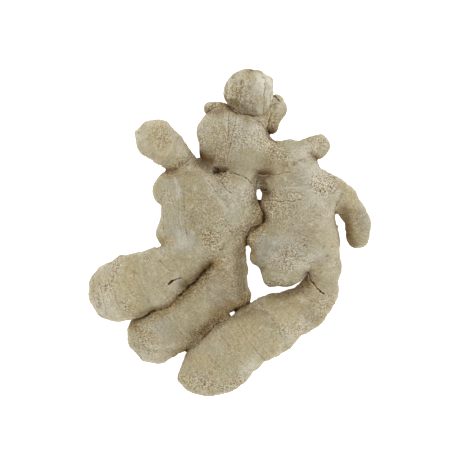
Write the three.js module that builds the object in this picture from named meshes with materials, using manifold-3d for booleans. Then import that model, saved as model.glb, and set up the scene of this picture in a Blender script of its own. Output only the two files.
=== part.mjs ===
// A "hand" of fresh ginger: one rhizome lying flat, grown as a single body.
//
// Millimetres, +Z up. The rhizome lies on the plane z = 0 and the origin is the middle of its footprint.
// Every palm, finger, knob and bud is a lobe: a ball whose centre and radius change along a smooth axis.
// The lobes are melted into one distance field, the skin is taken from that field as a closed mesh,
// its triangles are thinned out, and the three lowest bellies are cut flat where they rest.
import * as THREE from "three";
import { mergeVertices } from "three/addons/utils/BufferGeometryUtils.js";
import Module from "manifold-3d";

// ---- Driving dimensions ---------------------------------------------------------------------------

const FIELD_STEP = 1.6; // spacing of the field's samples
const TRIANGLES = 11400; // triangles left in the skin
const CREASE_RADIUS = 1.8; // how tightly two lobes meet away from where one grows out of the other
const AXIS_STEPS = 4; // straight pieces between two stations of an axis
const NODE_SWELL = 0.06; // a length between two leaf scars swells by this share of that length
const SHRIVEL_HEIGHT = 0.55; // depth of the slow dents and lumps of the drying skin
const SHRIVEL_LENGTHS = [11, 14, 19, 25]; // wavelengths of those lumps
const FIELD_FAR = 40; // value of the field well outside the rhizome
const SKIN_COLOUR = 0xb3a78a;

// ---- Lobes ----------------------------------------------------------------------------------------
// axis: stations [x, y, z, radius], from where the lobe grows out of the body to its tip.
// blend: radius of the fillet at its root, which fades out over reach. flat: height over width.
// scars: distances along the axis of the leaf scars that ring it.

const LOBES = [
  { name: "left palm", blend: 4, reach: 20, flat: 0.84, scars: [0, 9, 21, 33],
    axis: [[-0.8, 12.4, 19, 14.7], [-11, 12, 19.5, 18], [-19.4, 11.4, 19, 16.9]] },
  { name: "left palm, upper half", blend: 6, reach: 20, flat: 0.84, scars: [],
    axis: [[-8, 19, 19, 14], [3.2, 20, 19, 8.6], [5.6, 25, 18, 7.4]] },
  { name: "web between the left palm and the head", blend: 6, reach: 14, flat: 0.9, scars: [],
    axis: [[4.2, 26, 20.5, 8.4], [5.2, 34, 22.5, 9]] },
  { name: "left palm, right side", blend: 5, reach: 20, flat: 0.9, scars: [],
    axis: [[2, 10, 19, 12], [11.3, 9.6, 19, 6.9]] },
  { name: "web above the middle finger", blend: 6, reach: 12, flat: 0.85, scars: [],
    axis: [[-6, 4, 18.5, 12], [-7.4, -4.6, 18.6, 9.6]] },
  { name: "shoulder knob", blend: 6, reach: 12, flat: 0.9, scars: [],
    axis: [[-20, 21, 19, 11], [-29.6, 22.7, 19, 10.4]] },
  { name: "hip knob", blend: 5, reach: 12, flat: 0.9, scars: [],
    axis: [[-24, 3, 18, 9], [-31.6, 0.4, 18, 6.9]] },
  { name: "web below the hip knob", blend: 5, reach: 12, flat: 0.9, scars: [],
    axis: [[-23, -3.4, 19, 8], [-30, -6.4, 19, 4.8]] },
  { name: "thumb", blend: 6, reach: 14, flat: 0.92, scars: [5, 12, 20, 27, 33],
    axis: [[-20, 27, 19, 8.6], [-24.8, 35.8, 21, 7.1], [-31.2, 43, 23, 8.7], [-38.3, 48.6, 24, 10.5]] },
  { name: "upper finger", blend: 6, reach: 13, flat: 0.88, scars: [4, 14, 25, 36, 44, 53, 59, 64, 68],
    axis: [[-13, -3, 20, 9.6], [-22.3, -11.8, 20, 10.8], [-35.1, -20.4, 20.5, 13.4], [-47.2, -25, 22, 14.8],
      [-55, -28.8, 22, 16], [-60.5, -30.2, 21.5, 13.2]] },
  { name: "upper finger's blunt tip", blend: 5, reach: 12, flat: 0.9, scars: [],
    axis: [[-56, -33, 21, 11], [-61.6, -37.4, 20.5, 7.4]] },
  { name: "upper finger, lower side", blend: 5, reach: 12, flat: 0.9, scars: [],
    axis: [[-39, -27, 21, 10.5], [-36, -31.4, 20.5, 7.6]] },
  { name: "middle finger", blend: 8, reach: 9, flat: 0.86, scars: [6, 17, 29, 41, 51, 60, 66, 70],
    axis: [[0.2, -6, 16.4, 7.4], [-3.2, -22, 13.8, 11.4], [-12.6, -35.4, 13, 13.7], [-27, -45.8, 12.6, 14.4],
      [-38, -53.2, 11.6, 14.1], [-41, -54, 11.6, 12.4]] },
  { name: "middle finger's blunt tip", blend: 5, reach: 12, flat: 0.9, scars: [],
    axis: [[-38, -50, 13.5, 11], [-45.4, -51.6, 13, 8]] },
  { name: "middle finger's heel", blend: 4, reach: 12, flat: 0.9, scars: [],
    axis: [[0, -28, 16, 8], [3.6, -33, 14.4, 7.6]] },
  { name: "right palm", blend: 5, reach: 20, flat: 0.84, scars: [6, 13, 20, 31, 43],
    axis: [[31, 36.2, 22, 10.2], [33.6, 25, 21, 15.2], [36, 12, 20.5, 17.6], [37.4, 2, 20, 16.8]] },
  { name: "right palm, left knob", blend: 4, reach: 10, flat: 0.88, scars: [],
    axis: [[25, 14.4, 19, 8.2], [20.8, 14.4, 19, 4.9]] },
  { name: "neck", blend: 8, reach: 18, flat: 0.85, scars: [4, 12, 21],
    axis: [[31, 37, 22, 9.8], [21, 38, 23, 9.6], [10, 41, 24, 12]] },
  { name: "ear", blend: 3, reach: 7, flat: 0.9, scars: [6, 11, 15],
    axis: [[31, 41, 22, 7], [37, 43.2, 23, 5.2], [42, 45.4, 23, 4.5], [46.2, 45.4, 23, 6.2]] },
  { name: "arm", blend: 4, reach: 12, flat: 0.92, scars: [9, 17, 25, 33, 37],
    axis: [[46, 22.4, 20, 10.6], [55.2, 19.7, 20, 8.4], [61.8, 13.8, 19, 6.8], [66.1, 6, 17, 6.4],
      [66.8, -1.9, 16, 6]] },
  { name: "belly", blend: 8, reach: 20, flat: 0.86, scars: [0, 10, 20],
    axis: [[34, 0, 19.5, 15], [29.5, -11.8, 20, 13.2], [28.4, -16, 20, 11.9]] },
  { name: "belly, low corner", blend: 4, reach: 10, flat: 0.86, scars: [],
    axis: [[24, -17.6, 18.5, 7], [21.8, -22.6, 18.5, 5]] },
  { name: "belly, left knob", blend: 4, reach: 10, flat: 0.88, scars: [],
    axis: [[22, -2.4, 18, 9.8], [14, -2.4, 18, 5.7]] },
  { name: "belly, lower left knob", blend: 4, reach: 10, flat: 0.88, scars: [],
    axis: [[22, -9, 17, 10], [15, -11.6, 16.5, 4.6]] },
  { name: "lower finger", blend: 5, reach: 14, flat: 0.9,
    scars: [12, 24, 34, 44, 55, 67, 78, 88, 97, 104, 110],
    axis: [[44.6, -1, 19, 11.5], [47.3, -10, 16.5, 10.1], [48.6, -22, 12.5, 8.3], [45.1, -33.4, 10, 10.4],
      [38.8, -39.2, 10.2, 11.3], [29.8, -43.1, 15.6, 12.6], [19.2, -48.8, 18, 15.1], [6.2, -57.6, 18, 14.7],
      [-4.5, -67.5, 17, 15.1], [-11.5, -70.8, 16, 14]] },
  { name: "lower finger's blunt tip", blend: 5, reach: 12, flat: 0.9, scars: [],
    axis: [[-14, -71, 16, 11], [-19.8, -75, 15.5, 7.2]] },
  { name: "lower finger, upper side", blend: 5, reach: 14, flat: 0.9, scars: [],
    axis: [[3, -60, 18, 13], [-4, -57.8, 18.6, 11]] },
  { name: "elbow knob", blend: 4, reach: 10, flat: 0.9, scars: [],
    axis: [[41, -40, 12, 8], [42.8, -44.2, 12, 5]] },
  { name: "head", blend: 3, reach: 10, flat: 0.95, scars: [1, 9, 16, 22],
    axis: [[8.4, 46.4, 24, 12.6], [4, 48.5, 24.5, 14.5], [-2, 50, 25, 14.8]] },
  { name: "head, lower half", blend: 3, reach: 12, flat: 0.95, scars: [],
    axis: [[4, 46, 24, 13], [-0.9, 44.8, 25, 13.1]] },
  { name: "head, lower left corner", blend: 4, reach: 12, flat: 0.95, scars: [],
    axis: [[-4, 43, 23, 11], [-8.2, 41.7, 23, 7.4]] },
  { name: "head, upper left corner", blend: 4, reach: 12, flat: 0.95, scars: [],
    axis: [[-6, 52, 24, 10], [-9, 53.6, 24, 7.7]] },
  { name: "foot under the head", blend: 6, reach: 12, flat: 0.95, scars: [],
    axis: [[6, 46, 18, 12], [5, 47, 10.1, 11.5]] },
  { name: "crown ball", blend: 3, reach: 10, flat: 0.98, scars: [4, 11, 18, 24],
    axis: [[12.6, 70.8, 26.6, 9.2], [9.8, 72, 28, 12.6], [7.4, 72.2, 28, 9.8]] },
  { name: "crown ball, side knob", blend: 2, reach: 6, flat: 1, scars: [],
    axis: [[14.6, 76, 27, 6.2], [19.4, 78, 26, 3.3]] },
  { name: "neck of the crown ball", blend: 3, reach: 10, flat: 0.95, scars: [],
    axis: [[10, 55, 20, 10], [11, 66, 20, 9]] },
  { name: "hanging fin", blend: 2, reach: 6, flat: 0.9, scars: [],
    axis: [[17.6, 65, 23.5, 4], [24, 69.2, 24, 2.6], [25, 65, 23, 4.5], [22.6, 59, 22, 3.4],
      [21.8, 55.2, 21, 3.4]] },
  { name: "strap beside the fin", blend: 2, reach: 6, flat: 0.9, scars: [],
    axis: [[16.4, 67, 24, 4.8], [18.6, 61.6, 23.6, 4.2], [18.6, 57.4, 23, 3.4]] },
  { name: "bud behind the head", blend: 2, reach: 6, flat: 0.9, scars: [],
    axis: [[-3, 64, 20, 3], [-6.5, 65.3, 20, 3], [-10.5, 65, 20, 3.1]] },
  { name: "bud between the palms", blend: 2, reach: 6, flat: 0.9, scars: [],
    axis: [[20.2, 24.4, 19, 4], [18, 24.4, 19.4, 2.5]] },
];

// ---- The field: negative inside the rhizome -------------------------------------------------------

// Straight pieces of a lobe's axis, each with its two ends, their radii and its distance along the axis.
function axisPieces({ axis, flat }) {
  const line = new THREE.CatmullRomCurve3(
    axis.map(([x, y, z]) => new THREE.Vector3(x, y, z)), false, "catmullrom");
  const radii = new THREE.CatmullRomCurve3(
    axis.map((station) => new THREE.Vector3(station[3], 0, 0)), false, "catmullrom");
  const count = (axis.length - 1) * AXIS_STEPS;
  const pieces = [];
  let along = 0;
  for (let i = 0; i < count; i++) {
    const start = line.getPoint(i / count);
    const end = line.getPoint((i + 1) / count);
    const radius = radii.getPoint(i / count).x;
    const step = end.clone().sub(start);
    const grow = radii.getPoint((i + 1) / count).x - radius;
    const upright = step.z / flat;
    pieces.push({
      start, step, upright, radius, grow, along,
      length: step.length(),
      squared: step.x ** 2 + step.y ** 2 + upright ** 2,
    });
    along += step.length();
  }
  return pieces;
}

// Where a point lies against one lobe: its distance to the lobe's plain skin, and how far along the axis
// it is. Past either end the count goes on, so that scars ring the round tips too.
function measureLobe(lobe, x, y, z) {
  let distance = Infinity;
  let along = 0;
  lobe.pieces.forEach((piece, i) => {
    const px = x - piece.start.x;
    const py = y - piece.start.y;
    const pz = (z - piece.start.z) / lobe.flat;
    const share = (px * piece.step.x + py * piece.step.y + pz * piece.upright) / piece.squared;
    const held = Math.min(Math.max(share, 0), 1);
    const off = Math.hypot(
      px - held * piece.step.x, py - held * piece.step.y, pz - held * piece.upright);
    const here = off - (piece.radius + held * piece.grow);
    if (here < distance) {
      const isEnd = (i === 0 && share < 0) || (i === lobe.pieces.length - 1 && share > 1);
      distance = here;
      along = piece.along + (isEnd ? share : held) * piece.length;
    }
  });
  return { distance, along };
}

// The swell between two leaf scars: nothing at a scar, highest midway to the next.
function nodeSwell(scars, along) {
  const next = scars.findIndex((scar) => scar > along);
  if (next < 1) return 0;
  const gap = scars[next] - scars[next - 1];
  const share = (along - scars[next - 1]) / gap;
  return NODE_SWELL * gap * Math.sin(Math.PI * share);
}

// Slow lumps all over the skin: waves of a few lengths that cross each other at odd angles.
function shrivel(x, y, z) {
  return SHRIVEL_HEIGHT * SHRIVEL_LENGTHS.reduce((sum, length, i) => {
    const turn = (2 * Math.PI) / length;
    const tilt = 2.4 * i;
    const across = x * Math.cos(tilt) + y * Math.sin(tilt);
    const beside = y * Math.cos(tilt) - x * Math.sin(tilt);
    return sum + Math.sin(across * turn + i) * Math.cos((beside + z) * turn * 0.7 + tilt) / 2;
  }, 0);
}

// Melts one lobe into the field: the fillet is wide near its root and a tight crease beyond its reach.
function melt(field, distance, lobe, x, y, z) {
  const root = lobe.pieces[0].start;
  const near = 1.6 - Math.hypot(x - root.x, y - root.y, z - root.z) / lobe.reach;
  const share = Math.min(Math.max(near, 0), 1);
  const radius = CREASE_RADIUS + (lobe.blend - CREASE_RADIUS) * share * share * (3 - 2 * share);
  const overlap = Math.max(radius - Math.abs(field - distance), 0) / radius;
  return Math.min(field, distance) - (overlap * overlap * radius) / 4;
}

// Samples of the field on a regular grid round the whole rhizome. Each lobe only visits its own box.
function sampleField(lobes, step) {
  const whole = new THREE.Box3();
  for (const lobe of lobes) {
    lobe.pieces = axisPieces(lobe);
    lobe.box = new THREE.Box3();
    for (const [x, y, z, radius] of lobe.axis) {
      lobe.box.expandByPoint(new THREE.Vector3(x, y, z).subScalar(radius));
      lobe.box.expandByPoint(new THREE.Vector3(x, y, z).addScalar(radius));
    }
    lobe.box.expandByScalar(lobe.blend + 2 * step);
    whole.union(lobe.box);
  }
  const origin = whole.min.clone();
  const cells = whole.getSize(new THREE.Vector3()).divideScalar(step).ceil();
  const size = [cells.x + 1, cells.y + 1, cells.z + 1];
  const values = new Float32Array(size[0] * size[1] * size[2]).fill(FIELD_FAR);
  const indexOf = (i, j, k) => (k * size[1] + j) * size[0] + i;
  for (const lobe of lobes) {
    const low = lobe.box.min.clone().sub(origin).divideScalar(step).ceil();
    const high = lobe.box.max.clone().sub(origin).divideScalar(step).floor();
    for (let k = low.z; k <= high.z; k++) {
      for (let j = low.y; j <= high.y; j++) {
        for (let i = low.x; i <= high.x; i++) {
          const [x, y, z] = [origin.x + i * step, origin.y + j * step, origin.z + k * step];
          const { distance, along } = measureLobe(lobe, x, y, z);
          const raised = distance - nodeSwell(lobe.scars, along);
          const at = indexOf(i, j, k);
          values[at] = melt(values[at], raised, lobe, x, y, z);
        }
      }
    }
  }
  for (let k = 0; k < size[2]; k++) {
    for (let j = 0; j < size[1]; j++) {
      for (let i = 0; i < size[0]; i++) {
        values[indexOf(i, j, k)] -= shrivel(origin.x + i * step, origin.y + j * step, origin.z + k * step);
      }
    }
  }
  return { values, size, origin, step, indexOf };
}

// ---- The skin: marching tetrahedra, which always give a closed mesh --------------------------------

// The six tetrahedra of a cell share its diagonal 0-7; a corner's bits are its x, y and z offsets.
const CELL_TETRAHEDRA = [[0, 1, 3, 7], [0, 3, 2, 7], [0, 2, 6, 7], [0, 6, 4, 7], [0, 4, 5, 7], [0, 5, 1, 7]];
const SHARE_FROM_CORNER = 0.15; // a crossing keeps this share of its edge from either corner

function skinOf({ values, size, origin, step, indexOf }) {
  const points = [];
  const triangles = [];
  const crossings = new Map();

  const placeOf = (corner) => new THREE.Vector3(
    corner % size[0], Math.floor(corner / size[0]) % size[1], Math.floor(corner / (size[0] * size[1])),
  ).multiplyScalar(step).add(origin);

  // The mesh vertex where the field changes sign between two grid corners.
  function crossing(inner, outer) {
    const key = Math.min(inner, outer) * values.length + Math.max(inner, outer);
    if (!crossings.has(key)) {
      const share = THREE.MathUtils.clamp(
        values[inner] / (values[inner] - values[outer]), SHARE_FROM_CORNER, 1 - SHARE_FROM_CORNER);
      crossings.set(key, points.length);
      points.push(placeOf(inner).lerp(placeOf(outer), share));
    }
    return crossings.get(key);
  }

  // One triangle, turned so that it faces from the inner corner to the outer one.
  function face(a, b, c, inner, outer) {
    const normal = normalOf([points[a], points[b], points[c]]);
    const outward = placeOf(outer).sub(placeOf(inner));
    triangles.push(normal.dot(outward) > 0 ? [a, b, c] : [a, c, b]);
  }

  for (let k = 0; k < size[2] - 1; k++) {
    for (let j = 0; j < size[1] - 1; j++) {
      for (let i = 0; i < size[0] - 1; i++) {
        const corners = [0, 1, 2, 3, 4, 5, 6, 7].map(
          (bits) => indexOf(i + (bits & 1), j + ((bits >> 1) & 1), k + (bits >> 2)));
        const innerCount = corners.filter((corner) => values[corner] < 0).length;
        if (innerCount === 0 || innerCount === 8) continue;
        for (const tetrahedron of CELL_TETRAHEDRA) {
          const four = tetrahedron.map((bits) => corners[bits]);
          const inner = four.filter((corner) => values[corner] < 0);
          const outer = four.filter((corner) => values[corner] >= 0);
          if (inner.length === 1) {
            face(...outer.map((corner) => crossing(inner[0], corner)), inner[0], outer[0]);
          } else if (inner.length === 3) {
            face(...inner.map((corner) => crossing(corner, outer[0])), inner[0], outer[0]);
          } else if (inner.length === 2) {
            const [a, b] = inner;
            const [c, d] = outer;
            const ring = [crossing(a, c), crossing(a, d), crossing(b, d), crossing(b, c)];
            face(ring[0], ring[1], ring[2], a, c);
            face(ring[0], ring[2], ring[3], a, c);
          }
        }
      }
    }
  }
  return { points, triangles };
}

// ---- Thinning out: collapse the edges that move the skin least (quadric error) ----------------------

const EVENNESS = 5e-3; // how much a long edge costs beside the error, so that triangles stay even
const LEAST_TURN = 0.5; // cosine of the most that a collapse may turn a triangle
const LEAST_SHAPE = 0.12; // no triangle is made thinner than this, by shapeOf

// Square to a triangle, and twice its area long.
function normalOf([a, b, c]) {
  return b.clone().sub(a).cross(c.clone().sub(a));
}

// Area over mean squared edge: 0.43 for an even triangle, near 0 for a sliver.
function shapeOf(corners) {
  const edges = corners.reduce((sum, p, i) => sum + p.distanceToSquared(corners[(i + 1) % 3]), 0);
  return (1.5 * normalOf(corners).length()) / edges;
}

// Quadrics are kept as the upper half of a symmetric 4 x 4 matrix, ten numbers.
function planeQuadric(corners) {
  const normal = normalOf(corners);
  const area = normal.length() / 2;
  normal.normalize();
  const n = [normal.x, normal.y, normal.z, -normal.dot(corners[0])];
  const quadric = [];
  for (let i = 0; i < 4; i++) {
    for (let j = i; j < 4; j++) quadric.push(area * n[i] * n[j]);
  }
  return quadric;
}

function quadricError([aa, ab, ac, ad, bb, bc, bd, cc, cd, dd], { x, y, z }) {
  return aa * x * x + bb * y * y + cc * z * z + dd
    + 2 * (ab * x * y + ac * x * z + bc * y * z + ad * x + bd * y + cd * z);
}

// The point of least error, or null where the surface is too flat to settle it.
function bestPoint([aa, ab, ac, ad, bb, bc, bd, cc, cd]) {
  const matrix = new THREE.Matrix3(aa, ab, ac, ab, bb, bc, ac, bc, cc);
  const scale = aa + bb + cc;
  if (Math.abs(matrix.determinant()) < 1e-3 * scale ** 3) return null;
  return new THREE.Vector3(-ad, -bd, -cd).applyMatrix3(matrix.invert());
}

// A heap of edges, cheapest first.
class Queue {
  items = [];

  push(item) {
    const items = this.items;
    let at = items.push(item) - 1;
    while (at > 0) {
      const parent = (at - 1) >> 1;
      if (items[parent].cost <= items[at].cost) break;
      [items[parent], items[at]] = [items[at], items[parent]];
      at = parent;
    }
  }

  pop() {
    const items = this.items;
    const top = items[0];
    const last = items.pop();
    if (items.length === 0) return top;
    items[0] = last;
    let at = 0;
    for (;;) {
      let least = at;
      for (const child of [2 * at + 1, 2 * at + 2]) {
        if (child < items.length && items[child].cost < items[least].cost) least = child;
      }
      if (least === at) return top;
      [items[least], items[at]] = [items[at], items[least]];
      at = least;
    }
  }
}

function thinOut({ points, triangles }, wanted) {
  const fans = points.map(() => new Set()); // the triangles round each point
  const quadrics = points.map(() => new Array(10).fill(0));
  const age = points.map(() => 0); // how often a point has moved, to know stale edges in the queue
  triangles.forEach((triangle, t) => {
    const quadric = planeQuadric(triangle.map((p) => points[p]));
    for (const p of triangle) {
      fans[p].add(t);
      quadric.forEach((value, i) => (quadrics[p][i] += value));
    }
  });

  const neighbours = (p) => {
    const found = new Set();
    for (const t of fans[p]) triangles[t].forEach((q) => found.add(q));
    found.delete(p);
    return found;
  };

  const queue = new Queue();
  function offer(a, b) {
    const quadric = quadrics[a].map((value, i) => value + quadrics[b][i]);
    const squared = points[a].distanceToSquared(points[b]);
    const middle = points[a].clone().lerp(points[b], 0.5);
    const best = bestPoint(quadric);
    const target = best && best.distanceToSquared(middle) < squared ? best : middle;
    const cost = Math.max(quadricError(quadric, target), 0) + EVENNESS * squared * squared;
    queue.push({ cost, a, b, target, quadric, ages: age[a] + age[b] });
  }

  // Whether points a and b can both go to the target: no triangle left round them turns far, and the
  // thinnest of them is even enough, or at least no thinner than the thinnest was before.
  function staysSound(a, b, target) {
    let thinnestBefore = Infinity;
    let thinnestAfter = Infinity;
    for (const t of new Set([...fans[a], ...fans[b]])) {
      const before = triangles[t].map((p) => points[p]);
      thinnestBefore = Math.min(thinnestBefore, shapeOf(before));
      if (triangles[t].includes(a) && triangles[t].includes(b)) continue;
      const after = triangles[t].map((p) => (p === a || p === b ? target : points[p]));
      const [was, is] = [normalOf(before), normalOf(after)];
      if (is.dot(was) < LEAST_TURN * is.length() * was.length()) return false;
      thinnestAfter = Math.min(thinnestAfter, shapeOf(after));
    }
    return thinnestAfter > Math.min(LEAST_SHAPE, thinnestBefore);
  }

  // Moves point b onto point a, at the target, if that keeps the mesh closed and its triangles sound.
  function collapse({ a, b, target, quadric }) {
    const around = neighbours(b);
    const shared = [...neighbours(a)].filter((q) => around.has(q));
    if (shared.length !== 2 || !staysSound(a, b, target)) return false;
    for (const t of fans[b]) {
      if (triangles[t].includes(a)) {
        triangles[t].forEach((q) => fans[q].delete(t));
        triangles[t] = [];
      } else {
        triangles[t] = triangles[t].map((q) => (q === b ? a : q));
        fans[a].add(t);
      }
    }
    fans[b].clear();
    points[a] = target;
    quadrics[a] = quadric;
    age[a]++;
    age[b]++;
    return true;
  }

  points.forEach((_, p) => {
    for (const q of neighbours(p)) if (p < q) offer(p, q);
  });
  let left = triangles.length;
  while (left > wanted && queue.items.length > 0) {
    const edge = queue.pop();
    const isFresh = edge.ages === age[edge.a] + age[edge.b];
    if (!isFresh || !collapse(edge)) continue;
    left -= 2;
    for (const q of neighbours(edge.a)) offer(edge.a, q);
  }

  const kept = new Map();
  const position = [];
  const index = triangles.flat().map((p) => {
    if (!kept.has(p)) {
      kept.set(p, kept.size);
      position.push(...points[p].toArray());
    }
    return kept.get(p);
  });
  return { position, index };
}

// ---- The solid ------------------------------------------------------------------------------------

const wasm = await Module();
wasm.setup();

function solidFrom({ position, index }) {
  return new wasm.Manifold(new wasm.Mesh({
    numProp: 3,
    vertProperties: new Float32Array(position),
    triVerts: new Uint32Array(index),
  }));
}

// The ground below the resting plane z = 0, as a box wide enough for the whole rhizome.
function ground(skinBox) {
  const size = skinBox.getSize(new THREE.Vector3()).multiplyScalar(2);
  const box = new THREE.BoxGeometry(size.x, size.y, size.z);
  box.translate(0, 0, -size.z / 2);
  box.deleteAttribute("normal");
  box.deleteAttribute("uv");
  const merged = mergeVertices(box);
  return solidFrom({ position: merged.attributes.position.array, index: merged.index.array });
}

function rhizomeGeometry() {
  const skin = skinOf(sampleField(LOBES, FIELD_STEP));
  const box = new THREE.Box3().setFromPoints(skin.points);
  const solid = solidFrom(thinOut(skin, TRIANGLES)).subtract(ground(box));
  const mesh = solid.getMesh();
  const geometry = new THREE.BufferGeometry();
  geometry.setAttribute("position", new THREE.BufferAttribute(mesh.vertProperties, 3));
  geometry.setIndex(new THREE.BufferAttribute(mesh.triVerts, 1));
  geometry.computeVertexNormals();
  return geometry;
}

const skinMaterial = new THREE.MeshStandardMaterial({ color: SKIN_COLOUR, roughness: 0.85, metalness: 0 });
const rhizome = new THREE.Mesh(rhizomeGeometry(), skinMaterial);
rhizome.name = "ginger_rhizome";

const group = new THREE.Group();
group.add(rhizome);

export default group;
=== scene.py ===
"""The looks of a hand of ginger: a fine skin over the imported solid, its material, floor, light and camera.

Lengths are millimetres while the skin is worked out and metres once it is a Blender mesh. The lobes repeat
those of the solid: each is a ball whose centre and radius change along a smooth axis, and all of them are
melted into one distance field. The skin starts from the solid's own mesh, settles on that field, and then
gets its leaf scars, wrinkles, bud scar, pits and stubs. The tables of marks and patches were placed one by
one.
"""

import bpy
import numpy as np
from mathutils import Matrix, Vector


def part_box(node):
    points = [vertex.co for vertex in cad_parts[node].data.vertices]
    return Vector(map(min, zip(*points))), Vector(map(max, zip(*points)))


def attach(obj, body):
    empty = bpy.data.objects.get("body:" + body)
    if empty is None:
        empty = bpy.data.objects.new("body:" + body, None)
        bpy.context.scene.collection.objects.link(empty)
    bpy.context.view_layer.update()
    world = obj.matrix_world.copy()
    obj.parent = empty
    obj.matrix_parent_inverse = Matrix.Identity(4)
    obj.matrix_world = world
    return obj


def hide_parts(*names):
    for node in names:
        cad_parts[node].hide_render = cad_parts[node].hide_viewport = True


# ---- Driving dimensions (mm) ----

VOXEL = 0.8  # size of the fine skin's faces
CREASE_RADIUS = 0.9  # how tightly two lobes meet away from where one grows out of the other
AXIS_STEPS = 4  # straight pieces between two stations of an axis
NODE_SWELL = 0.06  # a length between two leaf scars swells by this share of that length
SHRIVEL_HEIGHT = 0.55  # depth of the slow dents and lumps of the drying skin
SHRIVEL_LENGTHS = (11, 14, 19, 25)  # wavelengths of those lumps
LUMPS = ((0.3, 6, 11), (0.2, 3, 12), (0.1, 1.6, 13))  # height, length and seed of the small lumps of the skin
STRIPE_HEIGHT = 0.1  # of the fine wrinkles round a lobe
RIDGE_HEIGHT = 0.1  # of the ridges on rough skin
CRUMB_HEIGHT = 0.12  # of the crumbs on rough skin
EYE_HEIGHT = 0.13  # of the wrinkles on the thumb's tip
LINE_DEPTH = 0.25
PIT_DEPTH = 0.3
SCAR_DEPTH = 0.35  # of the groove round the bud scar
RESTING = 0.05  # points lower than this lie on the floor and stay there
LOOK_TILT = 0.9  # creases and hollows are felt for this far from upright on the skin, in radians
LOOK_WAYS = 6  # in this many directions
SLANT = (0.36, 0.48, 0.8)  # a direction that few normals have
CREASE_LOOK = 1.8  # how far away a crease's other side may be
HOLLOW_LOOK = 7.0  # how far away a hollow's other side may be
LOBE_MARGIN = 8.0  # how far beyond its skin and its blend a lobe is still looked at
FIELD_FAR = 40.0  # the field where no lobe is near
MM = 0.001

# ---- The photograph's frame ----

PHOTO_SIZE = 460  # pixels a side
MM_PER_PIXEL = 0.52  # at the height of the widest part of the lobes
ORIGIN_PIXEL = (230.0, 233.5)  # where the object's origin falls
WIDEST_HEIGHT = 19.0  # mm above the floor, where the outlines of most lobes lie
LENS = 150.0  # mm
SENSOR = 36.0  # mm across

# ---- Lobes: name, blend, reach, flat, leaf scars along the axis, stations (x, y, z, radius) ----
# A lobe melts into the others over its blend where it grows out of them, as far as its reach from its first
# station. Flat is its height against its width.

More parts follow.
